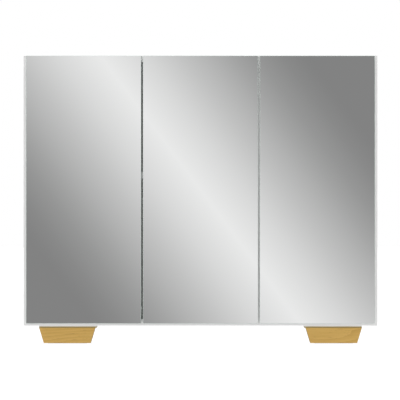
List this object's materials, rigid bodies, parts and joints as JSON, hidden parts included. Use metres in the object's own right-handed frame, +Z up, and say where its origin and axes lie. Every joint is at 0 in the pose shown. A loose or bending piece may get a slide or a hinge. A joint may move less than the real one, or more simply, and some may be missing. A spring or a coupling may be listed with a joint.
{
  "type": "medicine cabinet with mirror",
  "caption": "Wide, shallow bathroom cabinet with a row of frameless mirror doors on push latches, on two tapered wooden feet.",
  "frame": {"origin": "on the surface it stands on, under the middle of the cabinet's outline", "axes": "+X to the viewer's right, +Y to the wall, +Z up; the mirrors face -Y"},
  "size_m": [0.8, 0.15, 0.65],
  "materials": {
    "white_board": "white melamine, satin",
    "back_board": "thin white fibreboard, matte",
    "mirror": "silvered float glass, polished edges",
    "oak": "light oak, oiled, satin",
    "dowel_wood": "raw beech",
    "foot_plate_steel": "olive-grey powder coat",
    "nickel_plate": "nickel-plated steel, polished",
    "pin_steel": "bright steel",
    "zinc_screws": "zinc-plated steel",
    "brass": "turned brass",
    "white_plastic": "white moulded plastic",
    "plunger_plastic": "grey moulded plastic",
    "pad_rubber": "black rubber, matte",
    "bumper_rubber": "soft clear rubber"
  },
  "bodies": {
    "cabinet": {"back_panel": "back_board", "back_panel_screws": "zinc_screws", "bottom_panel": "white_board", "carcass_dowels": "dowel_wood", "carcass_screws": "zinc_screws", "centre_hinge_arms": "nickel_plate", "centre_hinge_plates": "nickel_plate", "centre_latch_housing": "white_plastic", "foot_inserts": "brass", "foot_pads": "pad_rubber", "foot_screws": "zinc_screws", "foot_spacers": "white_plastic", "hanging_rail": "white_board", "hinge_arm_screws": "zinc_screws", "hinge_plate_screws": "zinc_screws", "latch_screws": "zinc_screws", "latch_springs": "pin_steel", "left_foot": "oak", "left_foot_plate": "foot_plate_steel", "left_hinge_arms": "nickel_plate", "left_hinge_plates": "nickel_plate", "left_latch_housing": "white_plastic", "left_side_panel": "white_board", "narrow_shelf_lower": "white_board", "narrow_shelf_upper": "white_board", "partition": "white_board", "right_foot": "oak", "right_foot_plate": "foot_plate_steel", "right_hinge_arms": "nickel_plate", "right_hinge_plates": "nickel_plate", "right_latch_housing": "white_plastic", "right_side_panel": "white_board", "screw_caps": "white_plastic", "shelf_pins": "nickel_plate", "top_panel": "white_board", "wide_shelf": "white_board"},
    "left_door_leaf": {"left_door": "white_board", "left_mirror": "mirror", "left_hinge_cups": "nickel_plate", "left_hinge_pins": "pin_steel", "left_door_screws": "zinc_screws", "left_strike_plate": "pin_steel", "left_bumpers": "bumper_rubber"},
    "centre_door_leaf": {"centre_door": "white_board", "centre_mirror": "mirror", "centre_hinge_cups": "nickel_plate", "centre_hinge_pins": "pin_steel", "centre_door_screws": "zinc_screws", "centre_strike_plate": "pin_steel", "centre_bumpers": "bumper_rubber"},
    "right_door_leaf": {"right_door": "white_board", "right_mirror": "mirror", "right_hinge_cups": "nickel_plate", "right_hinge_pins": "pin_steel", "right_door_screws": "zinc_screws", "right_strike_plate": "pin_steel", "right_bumpers": "bumper_rubber"},
    "left_latch_plunger": {"left_plunger": "plunger_plastic"},
    "centre_latch_plunger": {"centre_plunger": "plunger_plastic"},
    "right_latch_plunger": {"right_plunger": "plunger_plastic"}
  },
  "joints": [
    {"name": "left_door_hinge", "type": "hinge", "parent": "cabinet", "child": "left_door_leaf", "pos_m": [-0.38672, -0.0676, 0.337], "axis": [0, 0, -1], "range_deg": [0, 95]},
    {"name": "centre_door_hinge", "type": "hinge", "parent": "cabinet", "child": "centre_door_leaf", "pos_m": [0.12272, -0.0676, 0.337], "axis": [0, 0, 1], "range_deg": [0, 95]},
    {"name": "right_door_hinge", "type": "hinge", "parent": "cabinet", "child": "right_door_leaf", "pos_m": [0.38672, -0.0676, 0.337], "axis": [0, 0, 1], "range_deg": [0, 95]},
    {"name": "left_latch_slide", "type": "slide", "parent": "cabinet", "child": "left_latch_plunger", "axis": [0, -1, 0], "range_m": [0, 0.01]},
    {"name": "centre_latch_slide", "type": "slide", "parent": "cabinet", "child": "centre_latch_plunger", "axis": [0, -1, 0], "range_m": [0, 0.01]},
    {"name": "right_latch_slide", "type": "slide", "parent": "cabinet", "child": "right_latch_plunger", "axis": [0, -1, 0], "range_m": [0, 0.01]}
  ],
  "couplings": [
    {"joint": "left_latch_slide", "follows": "left_door_hinge", "m_per_rad": 0.006},
    {"joint": "centre_latch_slide", "follows": "centre_door_hinge", "m_per_rad": 0.006},
    {"joint": "right_latch_slide", "follows": "right_door_hinge", "m_per_rad": 0.006}
  ]
}
